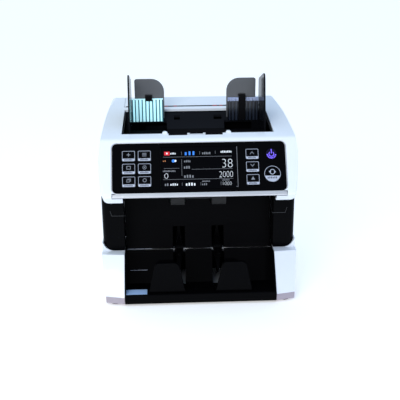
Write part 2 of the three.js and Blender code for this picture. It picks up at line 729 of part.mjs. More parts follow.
function rearCover() {
  const shell = overlapOf(
    join(headBlock(0), box(-DOOR_HALF, DOOR_HALF, 60, REAR_Y, 50, HEAD_Z + 1)),
    join(
      box(-DOOR_HALF, DOOR_HALF, COVER_FRONT_Y, REAR_Y + 1, HEAD_Z - 1, 240),
      box(-DOOR_HALF, DOOR_HALF, REAR_Y - WALL, REAR_Y, HINGE.z + 2.3, HEAD_Z),
    ),
  );
  const lugRoom = LUG_X.map((x) => box(x - 5.2, x + 5.2, 100, 120, 50, HINGE.z + 4.5));
  const inside = join(headBlock(WALL), box(-130, 130, 0, REAR_Y - WALL, HEAD_Z - 9, HEAD_Z + 6));
  const barrels = BARREL_X.map((x) => hingeBarrel(x - 7.5, x + 7.5, HINGE.z + 6));
  return cut(join(cut(shell, inside, ...lugRoom), ...barrels), hingeBore());
}

const BARREL_X = [-72.5, 72.5]; // the cover's hinge barrels
const LUG_X = [-90, -55, 55, 90]; // the rear panel's

function hingeBarrel(x0, x1, reachZ) {
  const { y, z, barrel } = HINGE;
  return join(
    rod(barrel, x0, x1, y, z, 16),
    box(x0, x1, y, y + barrel, Math.min(z, reachZ), Math.max(z, reachZ)),
  );
}

function hingeBore() {
  return rod(HINGE.rod + GAP, -130, 130, HINGE.y, HINGE.z, 12);
}

const SOCKETS = {
  inlet: { x0: 56, x1: 84, z0: 18, z1: 40 },
  rocker: { x0: 34, x1: 49, z0: 18, z1: 40 },
  ports: { x0: -84, x1: -20, z0: 20, z1: 36 },
};

function rearPieces() {
  const opening = ({ x0, x1, z0, z1 }, margin) =>
    box(x0 - margin, x1 + margin, 100, 120, z0 - margin, z1 + margin);
  const lugs = LUG_X.map((x) => hingeBarrel(x - 4.5, x + 4.5, HINGE.z - 7));
  const plate = cut(
    box(-TRAY_HALF, TRAY_HALF, REAR_Y - WALL, REAR_Y - GAP, 6.4, HINGE.z - 3.6),
    ...BARREL_X.map((x) => box(x - 8.2, x + 8.2, 100, 120, HINGE.z - 4.5, 70)),
  );
  const panel = cut(
    join(plate, ...lugs),
    hingeBore(),
    ...Object.values(SOCKETS).map((socket) => opening(socket, GAP)),
  );
  const { inlet, rocker, ports } = SOCKETS;
  const inletBlock = cut(
    box(inlet.x0, inlet.x1, 92, REAR_Y - GAP, inlet.z0, inlet.z1),
    box(inlet.x0 + 2.5, inlet.x1 - 2.5, 98, 120, inlet.z0 + 2.5, inlet.z1 - 2.5),
  );
  const pins = [-7, 0, 7].map((dx) => box(69 + dx, 71 + dx, 97, 112, 26, 32));
  const portHoles = [-78, -60, -42].map((x) => box(x, x + 13, 106, 120, 24, 32));
  const portBlock = box(ports.x0, ports.x1, 100, REAR_Y - GAP, ports.z0, ports.z1);
  const rockerShape = new THREE.Group();
  rockerShape.position.set((rocker.x0 + rocker.x1) / 2, 109, (rocker.z0 + rocker.z1) / 2);
  const half = (rocker.z1 - rocker.z0) / 2 - 0.9;
  const cap = [[-6, -4], [5.6, -half], [4, 0], [4.2, half], [-6, 4]];
  rockerShape.add(mesh('power_switch', alongX(cap, -6.6, 6.6), BLACK));
  return [
    mesh('rear_cover', rearCover(), WHITE),
    mesh('hinge_rod', rod(HINGE.rod, -94.4, 94.4, HINGE.y, HINGE.z, 12), STEEL),
    mesh('rear_panel', panel, BLACK),
    mesh('power_inlet', join(inletBlock, ...pins), BLACK),
    mesh('port_block', cut(portBlock, ...portHoles), STEEL),
    mesh('power_supply', box(-88, -6, 8, 80, 6.4, 38), STEEL),
    mesh('main_board', mainBoard(), BOARD),
    rockerShape,
  ];
}

function mainBoard() {
  const chips = [[-60, -40, 80, 100], [-20, 0, 110, 125], [30, 60, 85, 105]];
  return join(
    box(-90, 90, 88, 89.6, 64, 150),
    ...chips.map(([x0, x1, z0, z1]) => box(x0, x1, 85, 88.5, z0, z1)),
  );
}

// ---- assembly --------------------------------------------------------------------------------

const counter = new THREE.Group();
counter.name = 'banknote_counter';
counter.add(
  ...headPieces(),
  panelGroup(),
  ...hopperPieces(),
  ...guidePieces(),
  ...casingPieces(),
  ...drivePieces(),
  ...rearPieces(),
);

export default counter;
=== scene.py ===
"""Looks of the banknote counter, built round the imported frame. Metres, +Z up, operator at -Y."""

import json
import math

import bmesh
import bpy
from mathutils import Matrix, Vector


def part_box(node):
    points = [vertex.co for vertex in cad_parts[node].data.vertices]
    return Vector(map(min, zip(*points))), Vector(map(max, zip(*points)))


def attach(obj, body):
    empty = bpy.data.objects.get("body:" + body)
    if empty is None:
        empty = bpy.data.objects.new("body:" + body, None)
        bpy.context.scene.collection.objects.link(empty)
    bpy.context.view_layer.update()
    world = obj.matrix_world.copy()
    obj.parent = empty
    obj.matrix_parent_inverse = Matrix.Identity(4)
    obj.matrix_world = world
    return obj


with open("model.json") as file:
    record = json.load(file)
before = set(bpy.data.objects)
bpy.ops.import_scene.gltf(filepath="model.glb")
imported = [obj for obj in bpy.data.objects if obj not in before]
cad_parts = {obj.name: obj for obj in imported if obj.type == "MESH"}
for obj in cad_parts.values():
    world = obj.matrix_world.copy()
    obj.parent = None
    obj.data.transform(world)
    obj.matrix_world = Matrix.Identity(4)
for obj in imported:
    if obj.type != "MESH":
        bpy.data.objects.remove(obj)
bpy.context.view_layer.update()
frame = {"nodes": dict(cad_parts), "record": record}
MM = 0.001


# ---- camera, floor and light -------------------------------------------------------------------

CAMERA_PLACE = Vector((-37.6, -949.9, 421.7)) * MM
CAMERA_PAN = math.radians(2.542)  # towards +X
CAMERA_TILT = math.radians(18.583)  # downwards
CAMERA_ROLL = math.radians(0.402)
CAMERA_LENS = 65.307  # mm
SENSOR_WIDTH = 36  # mm


def make_camera():
    """The camera, in front of the machine and looking a little down on it."""
    data = bpy.data.cameras.new("camera")
    data.sensor_width = SENSOR_WIDTH
    data.lens = CAMERA_LENS
    camera = bpy.data.objects.new("camera", data)
    bpy.context.scene.collection.objects.link(camera)
    aim = Matrix.Rotation(-CAMERA_PAN, 3, "Z") @ Matrix.Rotation(math.pi / 2 - CAMERA_TILT, 3, "X")
    camera.matrix_world = Matrix.Translation(CAMERA_PLACE) @ (
        aim @ Matrix.Rotation(-CAMERA_ROLL, 3, "Z")).to_4x4()
    bpy.context.scene.camera = camera


def area_light(name, place, target, size, power, tint):
    """A soft rectangular lamp in metres and watts, aimed at a target."""
    data = bpy.data.lights.new(name, "AREA")
    data.shape = "RECTANGLE"
    data.size, data.size_y = size
    data.energy = power
    data.color = tint
    lamp = bpy.data.objects.new(name, data)
    lamp.location = place
    lamp.rotation_euler = (Vector(target) - Vector(place)).to_track_quat("-Z", "Y").to_euler()
    bpy.context.scene.collection.objects.link(lamp)


def make_world():
    """A pale tent: brightest overhead and behind, dimmer in front, bluer towards the right."""
    world = bpy.data.worlds.new("studio")
    world.use_nodes = True
    tree = world.node_tree
    place = tree.nodes.new("ShaderNodeTexCoord")

    def graded(direction, stops):
        along = tree.nodes.new("ShaderNodeVectorMath")
        along.operation = "DOT_PRODUCT"
        along.inputs[1].default_value = direction
        ramp = tree.nodes.new("ShaderNodeValToRGB")
        for element, (position, colour) in zip(ramp.color_ramp.elements, stops):
            element.position = position
            element.color = (*colour, 1)
        tree.links.new(place.outputs["Generated"], along.inputs[0])
        tree.links.new(along.outputs["Value"], ramp.inputs["Fac"])
        return ramp.outputs["Color"]

    brightness = graded((0, 0.5, 0.87), [(0.0, (0.52, 0.54, 0.57)), (0.6, (0.70, 0.84, 0.96))])
    tint = graded((1, 0, 0), [(0.0, (1, 1, 1)), (0.7, (0.60, 0.72, 1.0))])
    mix = tree.nodes.new("ShaderNodeMix")
    mix.data_type = "RGBA"
    mix.blend_type = "MULTIPLY"
    mix.inputs[0].default_value = 1
    tree.links.new(brightness, mix.inputs[6])
    tree.links.new(tint, mix.inputs[7])
    background = tree.nodes["Background"]
    background.inputs["Strength"].default_value = 1.0
    tree.links.new(mix.outputs[2], background.inputs["Color"])
    bpy.context.scene.world = world


WHITE_LIGHT = (1, 1, 1)
LAVENDER_LIGHT = (0.40, 0.55, 1)
CYAN_LIGHT = (0.7, 0.92, 1)
FLOOR_SIZE = 60  # m, so that no edge of it shows


def make_studio():
    """The pale floor, the world round it and three soft lamps."""
    make_world()
    bpy.context.scene.view_settings.view_transform = "Standard"

    bpy.ops.mesh.primitive_plane_add(size=FLOOR_SIZE, location=(0, 0, 0))
    floor = bpy.context.object
    floor.name = "floor"
    paper = surface("floor_paper", (0.9, 0.9, 0.9), 0.8, bump=0.02, grain=300, shade=0.01, glow=0.42)
    floor.data.materials.append(paper)

    area_light("key_light", (-0.75, -1.6, 0.95), (0, 0, 0.12), (0.8, 0.8), 14, WHITE_LIGHT)
    area_light("side_light", (1.5, -0.3, 0.7), (0, 0, 0.15), (0.8, 0.8), 1.5, LAVENDER_LIGHT)
    area_light("left_light", (-1.5, -0.1, 0.8), (0, 0, 0.15), (0.7, 0.9), 1, CYAN_LIGHT)


# ---- materials ---------------------------------------------------------------------------------

DRIFT_SCALE = 28  # the slow drift in colour, in ripples per metre
RELIEF = 0.0004  # m, the depth of the fine grain at full bump
COAT_ROUGHNESS = 0.04


def nodes_of(material):
    """A material's node tree and its shader."""
    tree = material.node_tree
    return tree, tree.nodes["Principled BSDF"]


def surface(name, colour, rough, metal=0.0, grain=900.0, bump=0.05, shade=0.06, rough_spread=0.06,
            coat=0.0, alpha=1.0, glow=None, stretch=(1, 1, 1), specular=0.5):
    """A moulded, coated or metal surface: fine grain in the normal, slow drift in colour and gloss."""
    material = bpy.data.materials.new("finish_" + name)
    material.use_nodes = True
    tree, shader = nodes_of(material)
    make, link = tree.nodes.new, tree.links.new

    place = make("ShaderNodeTexCoord")
    scale = make("ShaderNodeMapping")
    scale.inputs["Scale"].default_value = stretch
    link(place.outputs["Object"], scale.inputs["Vector"])

    def noise(size, detail):
        node = make("ShaderNodeTexNoise")
        node.inputs["Scale"].default_value = size
        node.inputs["Detail"].default_value = detail
        link(scale.outputs["Vector"], node.inputs["Vector"])
        return node.outputs["Fac"]

    drift = noise(DRIFT_SCALE, 3)
    fine = noise(grain, 4)

    ramp = make("ShaderNodeValToRGB")
    dark = [c * (1 - shade) for c in colour]
    light = [min(c * (1 + shade), 1) for c in colour]
    ramp.color_ramp.elements[0].position = 0.3
    ramp.color_ramp.elements[0].color = (*dark, 1)
    ramp.color_ramp.elements[1].position = 0.7
    ramp.color_ramp.elements[1].color = (*light, 1)
    link(drift, ramp.inputs["Fac"])
    link(ramp.outputs["Color"], shader.inputs["Base Color"])

    gloss = make("ShaderNodeMapRange")
    gloss.inputs["To Min"].default_value = max(rough - rough_spread, 0.02)
    gloss.inputs["To Max"].default_value = rough + rough_spread
    link(fine, gloss.inputs["Value"])
    link(gloss.outputs["Result"], shader.inputs["Roughness"])

    relief = make("ShaderNodeBump")
    relief.inputs["Strength"].default_value = bump
    relief.inputs["Distance"].default_value = RELIEF
    link(fine, relief.inputs["Height"])
    link(relief.outputs["Normal"], shader.inputs["Normal"])

    shader.inputs["Metallic"].default_value = metal
    shader.inputs["Specular IOR Level"].default_value = specular
    shader.inputs["Coat Weight"].default_value = coat
    shader.inputs["Coat Roughness"].default_value = COAT_ROUGHNESS
    shader.inputs["Alpha"].default_value = alpha
    if glow:
        shader.inputs["Emission Color"].default_value = (*colour, 1)
        shader.inputs["Emission Strength"].default_value = glow
    return material


def banded(name, colour, bands, **finish):
    """A surface with another colour on one side of a fixed place, in mm, along X, Y or Z."""
    material = surface(name, colour, **finish)
    tree, shader = nodes_of(material)
    place = tree.nodes.new("ShaderNodeTexCoord")
    split = tree.nodes.new("ShaderNodeSeparateXYZ")
    tree.links.new(place.outputs["Object"], split.inputs["Vector"])
    value = next(node for node in tree.nodes if node.type == "VALTORGB").outputs["Color"]
    for axis, side, edge, tone in bands:
        beyond = tree.nodes.new("ShaderNodeMath")
        beyond.operation = side
        beyond.inputs[1].default_value = edge * MM
        tree.links.new(split.outputs[axis], beyond.inputs[0])
        mix = tree.nodes.new("ShaderNodeMix")
        mix.data_type = "RGBA"
        tree.links.new(beyond.outputs["Value"], mix.inputs[0])
        tree.links.new(value, mix.inputs[6])
        mix.inputs[7].default_value = (*tone, 1)
        value = mix.outputs[2]
    tree.links.new(value, shader.inputs["Base Color"])
    tree.links.new(value, shader.inputs["Emission Color"])
    return material


# Where a finish changes colour on its node, in mm, all of them painted light or shade: heights above the
# floor and one place along Y.
FOOT_SHADE_TOP = 11.5  # top of the greyer foot of each leg, painted shade standing in for a chamfer there
SLOPE_TOP = 200.5  # the hopper's upright back plate, above this, is painted a little paler than its floor: painted light on the plate
RIB_FRONT = 15.2  # the ribs of the guide plates stand in front of this
RIB_REFLECTION_EDGE = 236.5  # the right ribbed plate has a pale strip above this, a painted reflection

WHITE = (0.84, 0.89, 0.95)


def palette():
    """Every finish by name. The blacks have little specular, so that they stay black under the lamps."""
    moulded = {"rough": 0.3, "grain": 1400, "bump": 0.05, "shade": 0.012, "coat": 0.2}
    black = {"specular": 0.035}
    return {
        "white_abs": surface("white_abs", WHITE, **moulded),
        # The legs' white, with a greyer band round the foot of each leg: painted shade standing in for a
        # shaded chamfer.
        "leg_white_foot_shade": banded(
            "leg_white_foot_shade", WHITE, [("Z", "LESS_THAN", FOOT_SHADE_TOP, (0.40, 0.35, 0.40))], **moulded),
        "gloss_black": surface(
            "gloss_black", (0.0012, 0.0012, 0.0016), 0.08, bump=0.01, rough_spread=0.03, **black),
        # The hopper tray's black, painted light and shade: paler on the upright back plate than on the
        # shaded floor.
        "hopper_black_lit_plate": banded(
            "hopper_black_lit_plate", (0.002, 0.002, 0.003),
            [("Z", "GREATER_THAN", SLOPE_TOP, (0.008, 0.009, 0.012))],
            rough=0.4, grain=1600, bump=0.25, **black),
        "black_plastic": surface(
            "black_plastic", (0.0015, 0.0015, 0.002), 0.3, grain=1600, bump=0.15, **black),
        "smoked_plastic": surface("smoked_plastic", (0.004, 0.0045, 0.006), 0.16, bump=0.03, specular=0.04),
        "smoked_clear": surface("smoked_clear", (0.10, 0.105, 0.115), 0.2, bump=0.03, alpha=0.93),
        "lug_black": surface("lug_black", (0.005, 0.005, 0.006), 0.3, bump=0.1, **black),
        # Painted light: the guide plate glows pale cyan as if lit through from behind, and its rib fronts
        # are painted darker as shade.
        "ribbed_plastic": banded(
            "ribbed_plastic", (0.55, 0.88, 0.95), [("Y", "LESS_THAN", RIB_FRONT, (0.02, 0.08, 0.11))],
            rough=0.25, bump=0.05, coat=0.1, glow=0.55),
        # The right guide plate: a painted shaded copy of the ribbed finish, with a pale strip along its top
        # as a painted reflection.
        "ribbed_shaded": banded(
            "ribbed_shaded", (0.022, 0.030, 0.050),
            [("Y", "LESS_THAN", RIB_FRONT, (0.004, 0.005, 0.010)),
             ("Z", "GREATER_THAN", RIB_REFLECTION_EDGE, (0.40, 0.48, 0.72))],
            rough=0.2, bump=0.05, coat=0.2),
        "silver_trim": surface(
            "silver_trim", (0.62, 0.63, 0.66), 0.3, metal=0.6, grain=2200, shade=0.02, bump=0.0,
            rough_spread=0.02),
        "display_glass": surface(
            "display_glass", (0.0012, 0.0012, 0.002), 0.06, bump=0.0, rough_spread=0.02, **black),
        # Silver print on the keys; the same finish makes the painted highlights along the pocket's seams.
        "silver_print_and_highlight": surface("silver_print_and_highlight", (0.46, 0.50, 0.60), 0.35, grain=2500),
        "print_faint": surface("print_faint", (0.22, 0.24, 0.28), 0.35, grain=2500),
        # grey lines on the black side panels: painted highlight of a moulded ridge
        "ridge_highlight_grey": surface("ridge_highlight_grey", (0.028, 0.030, 0.034), 0.4, grain=2500),
        "print_dark": surface("print_dark", (0.02, 0.025, 0.05), 0.4, grain=2500),
        "key_power": surface("key_power", (0.010, 0.008, 0.03), 0.12, **black),
        "glow_violet": surface("glow_violet", (0.16, 0.10, 0.75), 0.3, glow=0.7),
        "glow_white": surface("glow_white", (0.62, 0.66, 0.70), 0.3, glow=0.5),
        "glow_grey": surface("glow_grey", (0.16, 0.17, 0.19), 0.3, glow=0.3),
        "glow_blue": surface("glow_blue", (0.02, 0.16, 0.62), 0.3, glow=0.6),
        "glow_red": surface("glow_red", (0.55, 0.01, 0.02), 0.3, glow=0.4),
        "glow_orange": surface("glow_orange", (0.45, 0.16, 0.05), 0.3, glow=0.3),
        "steel": surface("steel", (0.58, 0.59, 0.61), 0.3, metal=1, stretch=(0.2, 6, 6), bump=0.15),
        "painted_steel": surface("painted_steel", (0.22, 0.23, 0.25), 0.45, metal=0.4, bump=0.15),
        "port_metal": surface("port_metal", (0.62, 0.62, 0.64), 0.28, metal=1, bump=0.1),
        "circuit_board": surface("circuit_board", (0.02, 0.13, 0.06), 0.4, bump=0.2),
        "track_green": surface("track_green", (0.06, 0.30, 0.12), 0.35, grain=1800),
        "can_blue": surface("can_blue", (0.02, 0.04, 0.16), 0.3, grain=1800),
        "clip_red": surface("clip_red", (0.45, 0.03, 0.04), 0.35, grain=1800),
        # pale strip on the tray lip: a painted reflection
        "pale_reflection": surface("pale_reflection", (0.42, 0.62, 0.98), 0.15, coat=0.4),
        "rubber": surface("rubber", (0.018, 0.018, 0.018), 0.8, grain=2200, bump=0.5),
    }


# ---- carried-over CAD nodes --------------------------------------------------------------------

EDGE_WIDTHS = {  # mm of rounding on each node's edges; the rest take DEFAULT_EDGE
    "head_shell": 1.2, "rear_cover": 0.6, "side_shell_left": 1.0, "side_shell_right": 1.0,
    "side_panel_left": 0.5, "side_panel_right": 0.5, "stop_left": 1.6, "stop_right": 1.6,
    "output_tray": 0.7, "control_panel": 0.35, "front_trim": 0.5, "display_module": 0.1,
    "guide_plate_left": 0.35, "guide_plate_right": 0.35, "base_pan": 0.3, "feed_roller": 0.8,
    "pickup_roller": 0.8, "guide_pinion": 0.12,
}
DEFAULT_EDGE = 0.3
SHARP = math.radians(31)  # edges sharper than this are rounded
FLAT = math.radians(1)  # facets that lie closer than this become one face
WELD = 0.02  # mm
EDGE_STEPS = 3
# The right guide plate takes a shaded copy of the ribbed finish; the hopper tray and side shells take
# finishes with painted light and shade.
FINISH = {  # nodes whose finish differs from their material slot's
    "guide_plate_right": "ribbed_shaded", "hopper_tray": "hopper_black_lit_plate",
    "side_shell_left": "leg_white_foot_shade", "side_shell_right": "leg_white_foot_shade",
}
LUG_PLATE_THICK = 2.05  # mm, a hair over the extension's plate; the lug is what stands in front of it


def refine(node, materials, slots):
    """Welds the CAD facets into flat faces, rounds the real edges and gives the node its material."""
    body = frame["nodes"][node]
    mesh = body.data
    mesh.normals_split_custom_set([(0, 0, 0)] * len(mesh.loops))
    mesh.polygons.foreach_set("use_smooth", [True] * len(mesh.polygons))

    weld = body.modifiers.new("weld", "WELD")
    weld.merge_threshold = WELD * MM
    flat = body.modifiers.new("flat", "DECIMATE")
    flat.decimate_type = "DISSOLVE"
    flat.angle_limit = FLAT
    flat.delimit = {"MATERIAL"}
    edge = body.modifiers.new("edge", "BEVEL")
    edge.width = EDGE_WIDTHS.get(node, DEFAULT_EDGE) * MM
    edge.segments = EDGE_STEPS
    edge.limit_method = "ANGLE"
    edge.angle_limit = SHARP
    edge.harden_normals = False
    edge.use_clamp_overlap = True
    shading = body.modifiers.new("shading", "WEIGHTED_NORMAL")
    shading.keep_sharp = True

    mesh.materials.clear()
    mesh.materials.append(materials[FINISH.get(node, slots[node])])
    if node in ("extension_left", "extension_right"):
        mesh.materials.append(materials["lug_black"])
        plate_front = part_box(node)[1][1] - LUG_PLATE_THICK * MM
        for face in mesh.polygons:
            face.material_index = int(face.center.y < plate_front)


# ---- flat artwork ------------------------------------------------------------------------------

def rounded(u0, u1, v0, v1, radius, steps=5):
    """Corners of a rounded rectangle, anticlockwise, in mm."""
    middles = [(u1 - radius, v0 + radius, -90), (u1 - radius, v1 - radius, 0),
               (u0 + radius, v1 - radius, 90), (u0 + radius, v0 + radius, 180)]
    return [
        (u + radius * math.cos(math.radians(start + 90 * k / steps)),
         v + radius * math.sin(math.radians(start + 90 * k / steps)))
        for u, v, start in middles for k in range(steps + 1)]


def bar(u0, u1, v0, v1):
    """A rectangle."""
    return [(u0, v0), (u1, v0), (u1, v1), (u0, v1)]


def disc(u, v, radius, sides=40):
    """A circle round (u, v)."""
    angles = [2 * math.pi * k / sides for k in range(sides)]
    return [(u + radius * math.cos(a), v + radius * math.sin(a)) for a in angles]


def arc_band(u, v, inner, outer, start, end, steps=20):
    """Part of a ring between two angles in degrees."""
    angles = [math.radians(start + (end - start) * k / steps) for k in range(steps + 1)]
    outside = [(u + outer * math.cos(a), v + outer * math.sin(a)) for a in angles]
    inside = [(u + inner * math.cos(a), v + inner * math.sin(a)) for a in reversed(angles)]
    return outside + inside


def dashes(u0, u1, v0, v1):
    """Stands for a short word too small to read: a row of little blocks of two heights."""
    height = v1 - v0
    step = height * 0.78
    count = max(1, int((u1 - u0) / step))
    blocks = []
    for k in range(count):
        left = u0 + (u1 - u0) * k / count
        top = v1 if k % 3 else v0 + height * 0.8
        blocks.append(bar(left, left + step * 0.62, v0, top))
    return blocks


def digits(text, u0, u1, v0, v1):
    """The outlines of a number, filled, scaled to fit a box."""
    curve = bpy.data.curves.new("digits", "FONT")
    curve.body = text
    curve.offset = -0.028  # a thinner stroke than the built-in face
    shape = bpy.data.objects.new("digits", curve)
    filled = bpy.data.meshes.new_from_object(shape)
    low = [min(p.co[i] for p in filled.vertices) for i in (0, 1)]
    high = [max(p.co[i] for p in filled.vertices) for i in (0, 1)]
    points = [
        (u0 + (p.co[0] - low[0]) / (high[0] - low[0]) * (u1 - u0),
         v0 + (p.co[1] - low[1]) / (high[1] - low[1]) * (v1 - v0)) for p in filled.vertices]
    faces = [[points[i] for i in face.vertices] for face in filled.polygons]
    bpy.data.objects.remove(shape)
    bpy.data.curves.remove(curve)
    bpy.data.meshes.remove(filled)
    return faces


def ring(outer, inner):
    """The quads between two outlines with the same number of corners."""
    count = len(outer)
    return [[outer[k], outer[(k + 1) % count], inner[(k + 1) % count], inner[k]] for k in range(count)]


def piece(name, shape, material, body):
    """Makes an object of a finished bmesh in metres and hangs it on its body."""
    mesh = bpy.data.meshes.new(name)
    bmesh.ops.recalc_face_normals(shape, faces=shape.faces[:])
    shape.to_mesh(mesh)
    shape.free()
    mesh.materials.append(MATERIALS[material])
    made = bpy.data.objects.new(name, mesh)
    bpy.context.scene.collection.objects.link(made)
    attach(made, body)
    return made


def artwork(name, loops, place, lift, thick, material, body):
    """Flat outlines in mm, given a small thickness and put on a plane of the machine."""
    shape = bmesh.new()
    for loop in loops:
        shape.faces.new([shape.verts.new((u, v, lift)) for u, v in loop])
    bmesh.ops.remove_doubles(shape, verts=shape.verts[:], dist=0.001)
    raised = bmesh.ops.extrude_face_region(shape, geom=shape.faces[:])
    moved = [item for item in raised["geom"] if isinstance(item, bmesh.types.BMVert)]
    bmesh.ops.translate(shape, verts=moved, vec=(0, 0, thick))
    shape.transform(place @ Matrix.Scale(MM, 4))
    return piece(name, shape, material, body)


# ---- control panel artwork ---------------------------------------------------------------------

PANEL_LEAN = math.radians(60)
PANEL_HALF_HEIGHT = 31.8
SCREEN_LIFT = -0.19  # mm; the screen's face lies a little behind the panel's
SCREEN_PRINT = 0.06  # how thick the figures on the screen are
KEY_TOP = 0.5  # how far the caps stand out of the panel
KEY_PRINT = 0.04  # how thick the print on a cap is
CAPTION_PRINT = 0.02


def panel_place():
    """The middle of the panel's face, with x across, y up the panel and z outwards."""
    low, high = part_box("control_panel")
    y = low[1] + PANEL_HALF_HEIGHT * math.cos(PANEL_LEAN) * MM
    z = high[2] - PANEL_HALF_HEIGHT * math.sin(PANEL_LEAN) * MM
    return Matrix.Translation((0, y, z)) @ Matrix.Rotation(PANEL_LEAN, 4, "X")


def middle_on_panel(node):
    """Where the middle of a node lies on the panel's face, in mm."""
    low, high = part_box(node)
    centre = (Vector(low) + Vector(high)) / 2
    local = panel_place().inverted() @ centre
    return local.x / MM, local.y / MM


def screen_artwork():
    """The counts, the rules between them and rows of blocks for the words, in mm on the panel."""
    place = panel_place()

    def show(name, loops, colour):
        artwork(name, loops, place, SCREEN_LIFT, SCREEN_PRINT, colour, "casing")

    show("screen_white", [
        *dashes(-35.4, -28.2, 16.9, 19.2), bar(-40.6, -38.6, 17.2, 19.2),
        *dashes(27, 41.2, 18.0, 20.6),
        *digits("38", 28.1, 41.2, -0.8, 9.9),
        *digits("0", -43.1, -38.5, -13.4, -7.1),
        *digits("2000", 24.2, 41.3, -13.4, -5.6),
        *digits("1000", 28.6, 39.4, -23.2, -18.9),
        *dashes(-36, -25.8, -22.6, -19.8), *dashes(-17.0, -3.9, -23.0, -19.4),
        disc(-29.4, 8.6, 1.4, 24),
    ], "glow_white")
    show("screen_grey", [
        bar(-21.7, -21.4, 16, 20.3), bar(0.8, 1.1, 16, 20.3), bar(20.2, 20.5, 17, 20.8),
        bar(-44.2, 41, 13.4, 13.7), bar(-21.7, -21.4, -10.5, 10.5), bar(-43.8, -24.6, -1.0, -0.7),
        bar(-9.6, 41, -2.6, -2.3), bar(-44.8, 41.4, -15.0, -14.7),
        bar(-21.7, -21.4, -23, -19), bar(1.2, 1.5, -23, -19), bar(26.0, 26.3, -23, -18.4),
        bar(46.9, 47.4, -25.4, 25.9), bar(45.0, 46.9, -25.4, -24.9),
        *dashes(-18.5, -10, 6.6, 9.2), *dashes(-18.9, -10.6, -1.5, 1.8),
        *dashes(-18.9, -5.9, -13.0, -9.4), *dashes(-44.8, -29, -5.2, -3.2),
        *dashes(-42.8, -37.4, -22.8, -19.6), *dashes(4, 15, 16.4, 19.2),
        *dashes(3, 13, -18.6, -17.0), *dashes(3, 10, -22.8, -20.4), *dashes(28, 37, -17.4, -16.0),
    ], "glow_grey")
    show("screen_blue", [
        *dashes(-17.5, -3.1, 15.6, 20.4), rounded(-33.8, -29.9, 6.6, 10.6, 1.9)], "glow_blue")
    show("screen_red", [bar(-43, -40.6, 15.8, 20.5), bar(-38.6, -36.2, 15.8, 20.5),
                        bar(-40.6, -38.6, 15.8, 17.2), bar(-40.6, -38.6, 19.2, 20.5)], "glow_red")
    show("screen_orange", dashes(-44.6, -40.2, 7.6, 9.6), "glow_orange")


def pictogram(kind):
    """Small plain signs for the keys, centred on the upper part of the cap."""
    v = 1.6  # the middle of the sign, above the middle of the cap
    signs = {
        "plus": [bar(-2.2, 2.2, v - 0.4, v + 0.4), bar(-0.4, 0.4, v + 0.4, v + 2.2),
                 bar(-0.4, 0.4, v - 2.2, v - 0.4)],
        "square": ring(rounded(-2.6, 2.6, v - 2.2, v + 2.2, 0.6), rounded(-1.9, 1.9, v - 1.5, v + 1.5, 0.3)),
        "circle": ring(disc(0, v, 2.4), disc(0, v, 1.7)),
        "triangle": [[(-2.4, v - 1.8), (2.4, v - 1.8), (0, v + 2.2)]],
        "bars": [bar(-2.6, 2.6, v + k, v + k + 0.7) for k in (-2.1, -0.4, 1.3)],
        "down": [[(-2.4, v + 1.2), (0, v - 1.6), (2.4, v + 1.2),
                  (2.4, v + 2.2), (0, v - 0.4), (-2.4, v + 2.2)]],
        "up": [[(-2.4, v - 1.2), (-2.4, v - 2.2), (0, v + 0.4),
                (2.4, v - 2.2), (2.4, v - 1.2), (0, v + 1.6)]],
        "pages": [*ring(bar(-2.6, 1.2, v - 2.2, v + 1.4), bar(-2.0, 0.6, v - 1.6, v + 0.8)),
                  bar(-1.4, 2.6, v + 1.7, v + 2.3), bar(1.9, 2.6, v - 1.4, v + 1.7)],
        "target": [*ring(disc(0, v, 2.4), disc(0, v, 1.8)), disc(0, v, 0.8, 20)],
    }
    return signs[kind]


KEY_SIGNS = {
    "key_a1": "plus", "key_a2": "square", "key_a3": "pages", "key_b1": "bars", "key_b2": "target",
    "key_b3": "circle", "key_c1": "up", "key_c2": "down", "key_c3": "triangle",
}
KEY_HALF = (7.8, 6.4)
KEY_BORDER = 0.45


def on_key(key):
    """The middle of a key's cap on the panel."""
    x, v = middle_on_panel(key)
    return panel_place() @ Matrix.Translation((x * MM, v * MM, 0))


def caption(key, u0, u1, v0, v1):
    artwork(key + "_caption", dashes(u0, u1, v0, v1), on_key(key), KEY_TOP + KEY_PRINT,
            CAPTION_PRINT, "print_dark", key)


def key_artwork():
    """The border, sign and caption of each rectangular key."""
    width, height = KEY_HALF
    edge = rounded(-width, width, -height, height, 1.2)
    width, height = width - KEY_BORDER, height - KEY_BORDER
    inner = rounded(-width, width, -height, height, 0.9)
    label = bar(-7.4, 7.4, -6.0, -3.2)
    for key, sign in KEY_SIGNS.items():
        at = on_key(key)
        artwork(key + "_print", [*ring(edge, inner), label], at,
                KEY_TOP, KEY_PRINT, "silver_print_and_highlight", key)
        artwork(key + "_sign", pictogram(sign), at,
                KEY_TOP, KEY_PRINT, "print_faint", key)
        caption(key, -5.2, 5.2, -5.6, -3.7)


def power_key_artwork():
    """The violet power sign, with a row of short marks round its lower half."""
    v = -0.4
    marks = [arc_band(0, v, 4.3, 6.0, start, start + 14, 3) for start in range(180, 360, 20)]
    sign = [arc_band(0, v, 2.5, 3.5, 130, 410), bar(-0.55, 0.55, 0.2, 5.8)]
    artwork("key_power_glow", marks + sign, on_key("key_power"),
            KEY_TOP, KEY_PRINT, "glow_violet", "key_power")


